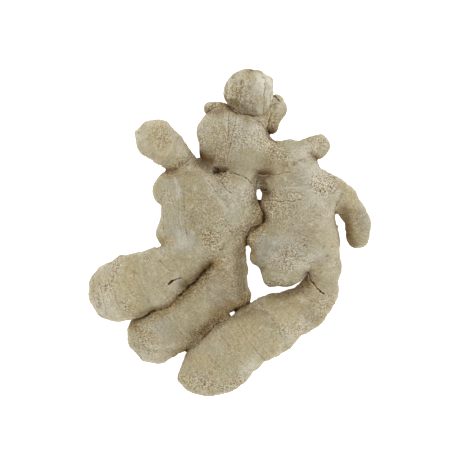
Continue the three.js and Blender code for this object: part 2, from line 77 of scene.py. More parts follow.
LOBES = (
    ("left palm", 4, 20, 0.84, (0, 9, 21, 33),
     ((-0.8, 12.4, 19, 14.7), (-11, 12, 19.5, 18), (-19.4, 11.4, 19, 16.9))),
    ("left palm, upper half", 6, 20, 0.84, (),
     ((-8, 19, 19, 14), (3.2, 20, 19, 8.6), (5.6, 25, 18, 7.4))),
    ("web between the left palm and the head", 6, 14, 0.9, (),
     ((4.2, 26, 20.5, 8.4), (5.2, 34, 22.5, 9))),
    ("left palm, right side", 5, 20, 0.9, (),
     ((2, 10, 19, 12), (11.3, 9.6, 19, 6.9))),
    ("web above the middle finger", 6, 12, 0.85, (),
     ((-6, 4, 18.5, 12), (-7.4, -4.6, 18.6, 9.6))),
    ("shoulder knob", 6, 12, 0.9, (),
     ((-20, 21, 19, 11), (-29.6, 22.7, 19, 10.4))),
    ("hip knob", 5, 12, 0.9, (),
     ((-24, 3, 18, 9), (-31.6, 0.4, 18, 6.9))),
    ("web below the hip knob", 5, 12, 0.9, (),
     ((-23, -3.4, 19, 8), (-30, -6.4, 19, 4.8))),
    ("thumb", 6, 14, 0.92, (5, 12, 20, 27, 33),
     ((-20, 27, 19, 8.6), (-24.8, 35.8, 21, 7.1), (-31.2, 43, 23, 8.7), (-38.3, 48.6, 24, 10.5))),
    ("upper finger", 6, 13, 0.88, (4, 14, 25, 36, 44, 53, 59, 64, 68),
     ((-13, -3, 20, 9.6), (-22.3, -11.8, 20, 10.8), (-35.1, -20.4, 20.5, 13.4), (-47.2, -25, 22, 14.8),
      (-55, -28.8, 22, 16), (-60.5, -30.2, 21.5, 13.2))),
    ("upper finger's blunt tip", 5, 12, 0.9, (),
     ((-56, -33, 21, 11), (-61.6, -37.4, 20.5, 7.4))),
    ("upper finger, lower side", 5, 12, 0.9, (),
     ((-39, -27, 21, 10.5), (-36, -31.4, 20.5, 7.6))),
    ("middle finger", 8, 9, 0.86, (6, 17, 29, 41, 51, 60, 66, 70),
     ((0.2, -6, 16.4, 7.4), (-3.2, -22, 13.8, 11.4), (-12.6, -35.4, 13, 13.7), (-27, -45.8, 12.6, 14.4),
      (-38, -53.2, 11.6, 14.1), (-41, -54, 11.6, 12.4))),
    ("middle finger's blunt tip", 5, 12, 0.9, (),
     ((-38, -50, 13.5, 11), (-45.4, -51.6, 13, 8))),
    ("middle finger's heel", 4, 12, 0.9, (),
     ((0, -28, 16, 8), (3.6, -33, 14.4, 7.6))),
    ("right palm", 5, 20, 0.84, (6, 13, 20, 31, 43),
     ((31, 36.2, 22, 10.2), (33.6, 25, 21, 15.2), (36, 12, 20.5, 17.6), (37.4, 2, 20, 16.8))),
    ("right palm, left knob", 4, 10, 0.88, (),
     ((25, 14.4, 19, 8.2), (20.8, 14.4, 19, 4.9))),
    ("neck", 8, 18, 0.85, (4, 12, 21),
     ((31, 37, 22, 9.8), (21, 38, 23, 9.6), (10, 41, 24, 12))),
    ("ear", 3, 7, 0.9, (6, 11, 15),
     ((31, 41, 22, 7), (37, 43.2, 23, 5.2), (42, 45.4, 23, 4.5), (46.2, 45.4, 23, 6.2))),
    ("arm", 4, 12, 0.92, (9, 17, 25, 33, 37),
     ((46, 22.4, 20, 10.6), (55.2, 19.7, 20, 8.4), (61.8, 13.8, 19, 6.8), (66.1, 6, 17, 6.4),
      (66.8, -1.9, 16, 6))),
    ("belly", 8, 20, 0.86, (0, 10, 20),
     ((34, 0, 19.5, 15), (29.5, -11.8, 20, 13.2), (28.4, -16, 20, 11.9))),
    ("belly, low corner", 4, 10, 0.86, (),
     ((24, -17.6, 18.5, 7), (21.8, -22.6, 18.5, 5))),
    ("belly, left knob", 4, 10, 0.88, (),
     ((22, -2.4, 18, 9.8), (14, -2.4, 18, 5.7))),
    ("belly, lower left knob", 4, 10, 0.88, (),
     ((22, -9, 17, 10), (15, -11.6, 16.5, 4.6))),
    ("lower finger", 5, 14, 0.9, (12, 24, 34, 44, 55, 67, 78, 88, 97, 104, 110),
     ((44.6, -1, 19, 11.5), (47.3, -10, 16.5, 10.1), (48.6, -22, 12.5, 8.3), (45.1, -33.4, 10, 10.4),
      (38.8, -39.2, 10.2, 11.3), (29.8, -43.1, 15.6, 12.6), (19.2, -48.8, 18, 15.1),
      (6.2, -57.6, 18, 14.7), (-4.5, -67.5, 17, 15.1), (-11.5, -70.8, 16, 14))),
    ("lower finger's blunt tip", 5, 12, 0.9, (),
     ((-14, -71, 16, 11), (-19.8, -75, 15.5, 7.2))),
    ("lower finger, upper side", 5, 14, 0.9, (),
     ((3, -60, 18, 13), (-4, -57.8, 18.6, 11))),
    ("elbow knob", 4, 10, 0.9, (),
     ((41, -40, 12, 8), (42.8, -44.2, 12, 5))),
    ("head", 3, 10, 0.95, (1, 9, 16, 22),
     ((8.4, 46.4, 24, 12.6), (4, 48.5, 24.5, 14.5), (-2, 50, 25, 14.8))),
    ("head, lower half", 3, 12, 0.95, (),
     ((4, 46, 24, 13), (-0.9, 44.8, 25, 13.1))),
    ("head, lower left corner", 4, 12, 0.95, (),
     ((-4, 43, 23, 11), (-8.2, 41.7, 23, 7.4))),
    ("head, upper left corner", 4, 12, 0.95, (),
     ((-6, 52, 24, 10), (-9, 53.6, 24, 7.7))),
    ("foot under the head", 6, 12, 0.95, (),
     ((6, 46, 18, 12), (5, 47, 10.1, 11.5))),
    ("crown ball", 3, 10, 0.98, (4, 11, 18, 24),
     ((12.6, 70.8, 26.6, 9.2), (9.8, 72, 28, 12.6), (7.4, 72.2, 28, 9.8))),
    ("crown ball, side knob", 2, 6, 1, (),
     ((14.6, 76, 27, 6.2), (19.4, 78, 26, 3.3))),
    ("neck of the crown ball", 3, 10, 0.95, (),
     ((10, 55, 20, 10), (11, 66, 20, 9))),
    ("hanging fin", 2, 6, 0.9, (),
     ((17.6, 65, 23.5, 4), (24, 69.2, 24, 2.6), (25, 65, 23, 4.5), (22.6, 59, 22, 3.4),
      (21.8, 55.2, 21, 3.4))),
    ("strap beside the fin", 2, 6, 0.9, (),
     ((16.4, 67, 24, 4.8), (18.6, 61.6, 23.6, 4.2), (18.6, 57.4, 23, 3.4))),
    ("bud behind the head", 2, 6, 0.9, (),
     ((-3, 64, 20, 3), (-6.5, 65.3, 20, 3), (-10.5, 65, 20, 3.1))),
    ("bud between the palms", 2, 6, 0.9, (),
     ((20.2, 24.4, 19, 4), (18, 24.4, 19.4, 2.5))),
)


# ---- The field: negative inside the rhizome ----

def axis_points(stations):
    """Points of an evenly stepped Catmull-Rom curve through the stations, radius and all."""
    p = np.array(stations, float)
    p = np.vstack([2 * p[0] - p[1], p, 2 * p[-1] - p[-2]])
    points = []
    for i in range(1, len(p) - 2):
        for t in np.arange(AXIS_STEPS) / AXIS_STEPS:
            points.append(0.5 * (2 * p[i] + (p[i + 1] - p[i - 1]) * t
                                 + (2 * p[i - 1] - 5 * p[i] + 4 * p[i + 1] - p[i + 2]) * t ** 2
                                 + (3 * p[i] - p[i - 1] - 3 * p[i + 1] + p[i + 2]) * t ** 3))
    points.append(p[-2])
    return np.array(points)


class Lobe:
    """A ball whose centre and radius change along a smooth axis."""

    def __init__(self, name, blend, reach, flat, scars, stations):
        self.name = name
        self.blend = blend
        self.reach = reach
        self.flat = flat
        self.scars = np.array(scars, float)
        self.points = axis_points(stations)
        margin = self.points[:, 3:] + blend + LOBE_MARGIN
        self.low = (self.points[:, :3] - margin).min(0)
        self.high = (self.points[:, :3] + margin).max(0)

    def near(self, p):
        """Numbers of the points p that this lobe can touch."""
        return np.flatnonzero(((p > self.low) & (p < self.high)).all(1))

    def measure(self, p):
        """Distance of points p to the lobe's plain skin, and how far along its axis they are."""
        distance = np.full(len(p), np.inf)
        along = np.zeros(len(p))
        squeeze = np.array([1, 1, 1 / self.flat])
        run = 0.0
        last = len(self.points) - 2
        for i, (a, b) in enumerate(zip(self.points[:-1], self.points[1:])):
            step = (b - a)[:3] * squeeze
            length = np.linalg.norm((b - a)[:3])
            to = (p - a[:3]) * squeeze
            share = to @ step / (step @ step)
            held = np.clip(share, 0, 1)
            here = np.linalg.norm(to - held[:, None] * step, axis=1) - (a[3] + held * (b[3] - a[3]))
            if i == 0:
                held = np.minimum(share, 1)
            if i == last:
                held = np.maximum(share, held)
            closer = here < distance
            distance[closer] = here[closer]
            along[closer] = run + held[closer] * length
            run += length
        return distance, along

    def swell(self, along):
        """Nothing at a leaf scar, highest midway to the next."""
        if len(self.scars) < 2:
            return np.zeros(len(along))
        after = np.clip(np.searchsorted(self.scars, along, side="right"), 1, len(self.scars) - 1)
        gap = self.scars[after] - self.scars[after - 1]
        share = np.clip((along - self.scars[after - 1]) / gap, 0, 1)
        return NODE_SWELL * gap * np.sin(np.pi * share)


def shrivel(p):
    """Slow lumps all over the skin: waves of a few lengths that cross each other at odd angles."""
    total = np.zeros(len(p))
    for i, length in enumerate(SHRIVEL_LENGTHS):
        turn = 2 * np.pi / length
        tilt = 2.4 * i
        across = p[:, 0] * np.cos(tilt) + p[:, 1] * np.sin(tilt)
        beside = p[:, 1] * np.cos(tilt) - p[:, 0] * np.sin(tilt)
        total += np.sin(across * turn + i) * np.cos((beside + p[:, 2]) * turn * 0.7 + tilt) / 2
    return SHRIVEL_HEIGHT * total


class Field:
    """All the lobes melted together."""

    def __init__(self):
        self.lobes = [Lobe(*row) for row in LOBES]

    def look(self, p):
        """The field at points p."""
        value = np.full(len(p), FIELD_FAR)
        for lobe in self.lobes:
            near = lobe.near(p)
            if len(near) == 0:
                continue
            distance, along = lobe.measure(p[near])
            distance = distance - lobe.swell(along)
            root = np.linalg.norm(p[near] - lobe.points[0, :3], axis=1)
            share = np.clip(1.6 - root / lobe.reach, 0, 1)
            radius = CREASE_RADIUS + (lobe.blend - CREASE_RADIUS) * share ** 2 * (3 - 2 * share)
            overlap = np.clip(radius - np.abs(value[near] - distance), 0, None) / radius
            value[near] = np.minimum(value[near], distance) - overlap ** 2 * radius / 4
        return value - shrivel(p)

    def slope(self, p, step=0.05):
        """The field and its gradient."""
        value = self.look(p)
        gradient = np.empty_like(p)
        for axis in range(3):
            ahead = p.copy()
            ahead[:, axis] += step
            gradient[:, axis] = (self.look(ahead) - value) / step
        return value, gradient


def smooth(low, high, value):
    """0 up to low, 1 from high on, and an S-curve between them."""
    share = np.clip((value - low) / (high - low), 0, 1)
    return share * share * (3 - 2 * share)


def noise(p, length, seed):
    """Smooth random bumps from -1 to 1, about this many mm long. The large numbers below only scramble."""
    scaled = p / length + 17.3 * seed
    cell = np.floor(scaled).astype(np.int64)
    share = smooth(0, 1, scaled - cell)
    total = np.zeros(len(p))
    for corner in range(8):
        offset = np.array([corner & 1, corner >> 1 & 1, corner >> 2])
        at = cell + offset
        mixed = at[:, 0] * 73856093 ^ at[:, 1] * 19349663 ^ at[:, 2] * 83492791 ^ seed * 2654435
        mixed = mixed & 0xFFFFFFFF
        mixed = (mixed ^ mixed >> 13) * 1274126177 & 0xFFFFFFFF
        value = ((mixed ^ mixed >> 16) & 0xFFFF) / 32767.5 - 1
        total += value * np.prod(np.where(offset == 1, share, 1 - share), axis=1)
    return total


# ---- Leaf scars: lobe, then (mm along its axis, strength) ----

RINGS = {
    "left palm": ((0, 0.3), (9, 0.4), (21, 0.8), (24, 0.5), (33, 0.8)),
    "thumb": ((5, 0.5), (12, 0.7), (20, 0.3), (27, 0.3), (31, 0.3), (34, 0.3)),
    "upper finger": ((4, 0.2), (14, 0.4), (25, 0.45), (36, 0.3), (44, 0.4), (53, 0.6), (59, 0.7), (64, 0.5)),
    "middle finger": ((6, 0.3), (17, 0.4), (29, 0.3), (41, 0.3), (51, 0.5), (60, 0.6), (66, 0.5)),
    "right palm": ((6, 0.7), (13, 1.0), (20, 0.9), (31, 0.4), (43, 0.4)),
    "neck": ((4, 0.4), (12, 0.5), (21, 0.3)),
    "ear": ((6, 0.5), (11, 0.5), (15, 0.5)),
    "arm": ((9, 0.8), (17, 0.6), (25, 0.5), (33, 0.6)),
    "belly": ((10, 0.4), (20, 0.5)),
    "lower finger": ((24, 0.3), (34, 0.7), (44, 0.4), (55, 0.2), (67, 0.5), (78, 0.8), (88, 0.4), (97, 0.5),
                     (104, 0.5)),
    "head": ((1, 0.4), (9, 0.7), (16, 0.5)),
    "crown ball": ((4, 0.8), (8, 0.5), (11, 0.6), (18, 0.4)),
}

RING_HEIGHT = 0.3  # how proud the torn edge of an old leaf stands
RING_WOBBLE = 0.9  # how far a ring strays from a true plane
RING_TREMBLE = 0.4  # how far its small wiggles go
RING_RISE = 2.4  # how gently the skin rises towards the edge
RING_FALL = 0.6  # how gently it falls behind the edge
RING_FADE = 3.5  # a ring ends where its lobe dips this far under the others

# ---- Dark lines on the upper side: strength, points (x, y) ----

LINE_REACH = 2.6  # how far from a line its offset is still told
LINE_WIDTH = 0.3  # half the width of a dark line, which a noise then breaks up
LINE_WANDER = 0.25  # how far a line strays to either side

LINES = (
    (3.0, ((-31.6, -26.2), (-29.6, -24.4), (-28, -23.5), (-25.8, -23.0))),
    (0.8, ((-36, -14), (-32.6, -17.4), (-29.4, -19.8))),
    (0.6, ((-34.6, -15.6), (-31, -19.4))),
    (0.7, ((-68, -21), (-66.4, -26), (-65, -33), (-63.6, -42))),
    (0.5, ((-70.4, -25), (-69.6, -32), (-66.6, -40))),
    (0.5, ((-60, -16), (-60.4, -26), (-57, -38))),
    (1.6, ((-14.6, -54.8), (-12.8, -52.4), (-11, -50.4), (-8, -48), (-5, -45.8))),
    (0.6, ((-4.6, -53), (-2, -56), (-0.4, -58.4))),
    (0.5, ((11, -51), (14, -54), (16, -57))),
    (0.6, ((-24.6, -59.6), (-32, -61.6), (-39, -61), (-46, -57.6))),
    (0.5, ((-29, -60), (-36, -58.6), (-43, -55))),
    (1.0, ((7.6, -23), (7.8, -30))),
    (2.4, ((42, -24.8), (45, -28), (48.4, -31.4))),
    (1.4, ((38.6, -21.4), (40.6, -20), (41.4, -22), (41.6, -25))),
    (0.6, ((42, -35), (46, -36.4), (48.6, -37.6))),
    (0.6, ((12.4, -12), (17, -14.6), (20, -13))),
    (0.5, ((34, 0.4), (38, -1.4), (43, -3.4), (47, -6))),
    (0.6, ((16, 1), (18.4, 0), (19.6, 0.4))),
    (1.6, ((14.6, 17.4), (16, 13.6), (18, 10.6), (18.3, 8), (17, 5.6), (14, 4), (11, 2.8), (9.2, 0),
           (8.4, -4))),
    (0.9, ((18, 17), (26, 16.6), (36, 17))),
    (0.9, ((17, 30.4), (24, 30.2), (30, 31.4))),
    (0.7, ((50, 33), (52, 31.4), (54, 30.6))),
    (0.9, ((-11, 27.4), (-9, 24.4), (-6.6, 20.6))),
    (1.0, ((-4.6, 26.8), (-3, 24.4), (-1.2, 22.2), (0.4, 21.4))),
    (1.3, ((-1.6, 31.2), (3, 30.6), (6.6, 29.6), (9, 27.6), (11.4, 26))),
    (2.2, ((-8.2, 33.6), (-5.4, 32), (-3, 31.8), (-1, 32.8))),
    (0.8, ((-31.5, 32), (-28, 33), (-24, 35.6), (-20.4, 39))),
    (0.8, ((-0.6, 61), (-0.7, 54), (-1.2, 49))),
    (0.4, ((7, 60), (6.4, 52), (7.6, 45))),
    (0.5, ((-13.6, 57), (-13.2, 50), (-12, 45))),
    (1.8, ((15, 30.6), (17, 30), (19, 30.4))),
    (1.8, ((16.2, 21.8), (17.8, 22.4), (19.2, 22.2))),
    (2.0, ((-16, 41.6), (-14.4, 38.6))),
    (1.6, ((-1.8, 66.4), (2, 63.8), (6, 61.6), (9, 60.6), (13, 60.2))),
    (0.9, ((11.4, 65.4), (11.4, 61.4))),
    (1.0, ((17.6, 77), (17.4, 70), (17.2, 62))),
    (0.7, ((20.6, 72), (20.6, 66), (20.2, 60))),
    (0.7, ((2.6, 78), (1.4, 73), (1.6, 68))),
    (2.6, ((22.4, 71), (24, 69.6), (26, 67.8))),
    (1.4, ((21, 62.4), (20.2, 58), (19.2, 54.6))),
    (1.0, ((13.6, 58.8), (16.6, 56), (19, 52))),
    (0.8, ((15.2, 59), (18, 56))),
    (1.2, ((18.8, 50.6), (20, 49), (22, 48), (24, 46.4))),
)

# ---- Marks on the upper side: kind, then (width, strength, points (x, y)) ----
# Pale is a tint along a line, shade is painted shade along creases and under overhanging lobes,
# and a rough mark is scabby.

MARKS = {
    "pale": (
        (0.8, 0.7, ((-28.8, 29), (-27, 24), (-26.4, 19))),
        (0.8, 0.5, ((-12, 28.6), (-10, 25.6), (-8, 22.6))), (1, 0.7, ((-1, 21), (1.4, 18.4), (4, 14))),
        (0.8, 0.5, ((-7.6, 20), (-4.6, 15.6), (-2.6, 12))),
        (2.4, 0.5, ((36, -17), (41, -13.6), (45.6, -10.8))),
        (0.5, 0.8, ((30, -11.4), (31.6, -13.6), (33, -16))),
        (0.5, 0.5, ((25, 23.6), (35, 23.4), (45.6, 22))), (1.8, 0.5, ((-36.6, -8.4), (-33.4, -11))),
        (1.4, 0.5, ((-30, -58.5), (-38, -59.4), (-44, -57.5))), (2.6, 0.7, ((15.4, 81), (17, 77.6))),
        (1.6, 0.5, ((20.4, 78.6), (21.4, 76.4))), (0.6, 0.8, ((15.4, -48.4), (15.6, -48))),
        (2, 0.5, ((12, -67), (7, -70.4))), (2.4, 0.4, ((34, -46.4), (38, -46))),
        (1.6, 0.5, ((14, 58), (17.6, 58.8))),
    ),
    "rough": (
        (3, 0.9, ((43, 26), (47, 24.6), (52, 24), (52.4, 29))), (2.6, 0.8, ((21, 46.6), (24, 42))),
        (3.2, 0.8, ((27, -49.6), (33, -48.4))), (2.6, 0.9, ((17, 19.6), (25, 19.4))),
        (2, 0.8, ((31, 19.6), (35, 20))), (3.4, 0.9, ((-12, -19), (-19, -25.6), (-26, -32.6))),
        (3.4, 0.9, ((-19, -53), (-12, -50.4), (-5, -45))),
        (2.6, 0.9, ((-31, 33), (-24, 36), (-20.6, 39.4))), (3, 0.2, ((60.8, 19.6), (66, 2))),
        (4, 0.5, ((-12, 40), (-4, 36))), (2, 0.8, ((-56.4, -13.4), (-59, -21), (-62.4, -27))),
        (2, 0.8, ((-54.6, -36), (-52.6, -38.4))), (1.6, 0.8, ((-43.4, -13), (-42, -12.6))),
        (3, 0.8, ((-24, -76), (-9, -79.6), (1, -79.6), (7, -73))), (2.4, 0.9, ((18, -25), (29, -26))),
    ),
    # painted shade: brown laid along creases and under overhanging lobes
    "shade": (
        (3.2, 1.25, ((-14.8, 40.6), (-12.4, 38.6), (-9.6, 37.4))), (5, 0.5, ((-11, 39), (-4, 36))),
        (2, 1.2, ((-7, 33), (-2.4, 32.8))), (2, 0.9, ((-32, 32.4), (-28, 33))),
        (2.2, 0.5, ((-26, 34.6), (-20.4, 38), (-15.6, 35.4))), (3, 1.25, ((15.6, 31), (19.6, 30.4))),
        (2, 0.5, ((16.4, 27.4), (17, 24.6))), (4, 0.4, ((17, 35), (19, 38))),
        (2.2, 1.2, ((16.8, 22.2), (19.4, 21))),
        (1.4, 0.9, ((17.4, 10.6), (17.8, 8), (16.4, 5.6), (13.4, 4.2), (10.4, 3), (8.6, 0))),
        (2.6, 1.2, ((-10.6, -16.6), (-13.6, -18.6))),
        (2.8, 0.9, ((-12.8, -18.6), (-19.6, -23.8), (-23.4, -27))), (2.4, 0.6, ((-22, -31), (-27, -36))),
        (1.5, 0.8, ((-40.6, -39.8), (-46, -41))), (1.4, 0.7, ((10, 84), (15.4, 83.4))),
        (1.6, 0.6, ((-31, -36.8), (-38, -39.4), (-44, -40.4), (-48, -43))),
        (3, 0.6, ((4.6, -9), (4.6, -17), (5.2, -25), (6, -33))),
        (3, 0.7, ((-19, -52), (-14.6, -51.2), (-12.6, -49))), (2.4, 0.6, ((-9.6, -46.4), (-4.6, -43.6))),
        (3, 0.5, ((4, -39), (8.4, -36.8))), (3, 0.45, ((-8, -42), (-3, -39.6), (2, -36.4))),
        (3, 0.35, ((4, -42), (12, -40))), (2.6, 0.4, ((20, -33.4), (29, -32), (38, -27))),
        (2, 0.8, ((39.6, -20.6), (40.4, -26))), (2, 0.4, ((41, -44), (46, -44.6))),
        (1.4, 0.7, ((14.6, -19.6), (17, -17.4))),
        (2.8, 0.8, ((58.8, 13), (60, 7), (61.4, 0), (63.6, -6))), (1.6, 0.5, ((43, 40.4), (44.6, 39))),
        (2.6, 1.2, ((21, 51.8), (22, 53.2))), (2, 0.8, ((1, 66.4), (5, 64.2), (9, 62.6), (13, 62))),
        (4, 0.25, ((5, 67.4), (12, 65.4))), (2, 0.7, ((-11, 62.8), (-6, 62.6))),
    ),
}

# ---- Pits where a rootlet broke off: x, y ----

DOT_RADIUS = 0.45
DOT_SQUEEZE = 1.3  # pits are this much narrower along y

DOTS = (
    (-47, 52), (-9.4, 66), (-6.8, 65), (-11.4, 64.6), (38, -6), (48.4, -6.5), (53, -6.5), (50.4, -11.7),
    (51.5, -32.5), (-1.6, 47), (10.8, 83.4), (-2.6, -12.2), (6.6, 11), (26, -10.5), (-64, -27),
    (-42.5, -12.6), (-36, -14), (-58.5, -20), (15, -18.6),
)

# ---- Stubs that rootlets leave, most of them on the outline: x, y, z, radius, height ----

STUBS = (
    (-48.4, 52, 22, 1.7, 1.1), (-42.6, 39.4, 22, 1.2, 0.6), (-39.5, -8.3, 20, 1.4, 0.8),
    (-56.6, -12.2, 21, 1.5, 0.7), (-74, -31, 20, 1.4, 0.8), (-71, -22, 20, 1.3, 0.6),
    (-71.5, -39, 20, 1.3, 0.6), (14, -32.6, 16, 1.2, 1.1), (9.6, -13.8, 18, 1.1, 1.0),
    (72.2, 13, 17, 1.2, 0.7), (42.6, -44.6, 12, 1.6, 0.9), (35.5, -53, 15, 1.5, 0.9),
    (31, -58, 15, 1.4, 0.7), (-52.8, -50, 13, 1.4, 0.7), (-45.5, -65.4, 12, 1.4, 0.7),
    (-26.4, -76, 16, 1.6, 0.8), (28.8, 66.5, 23, 1.0, 0.6), (50, 32.4, 20, 1.2, 0.6),
    (10.6, -16.2, 17, 1.1, 0.8), (-15.6, 56, 24, 1.2, 0.5), (55.8, 3.8, 18, 0.9, 0.9),
    (0, -84, 16, 1.5, 0.6), (57, -20, 13, 1.3, 0.5),
)

# ---- Two single features ----

BUD_SCAR = (-11, -2)  # a round rough scar where a side shoot dried up
BUD_SCAR_RADIUS = 4.2
THUMB_EYE = (-36.5, 50.5)  # the wrinkles of the thumb's tip run round this point
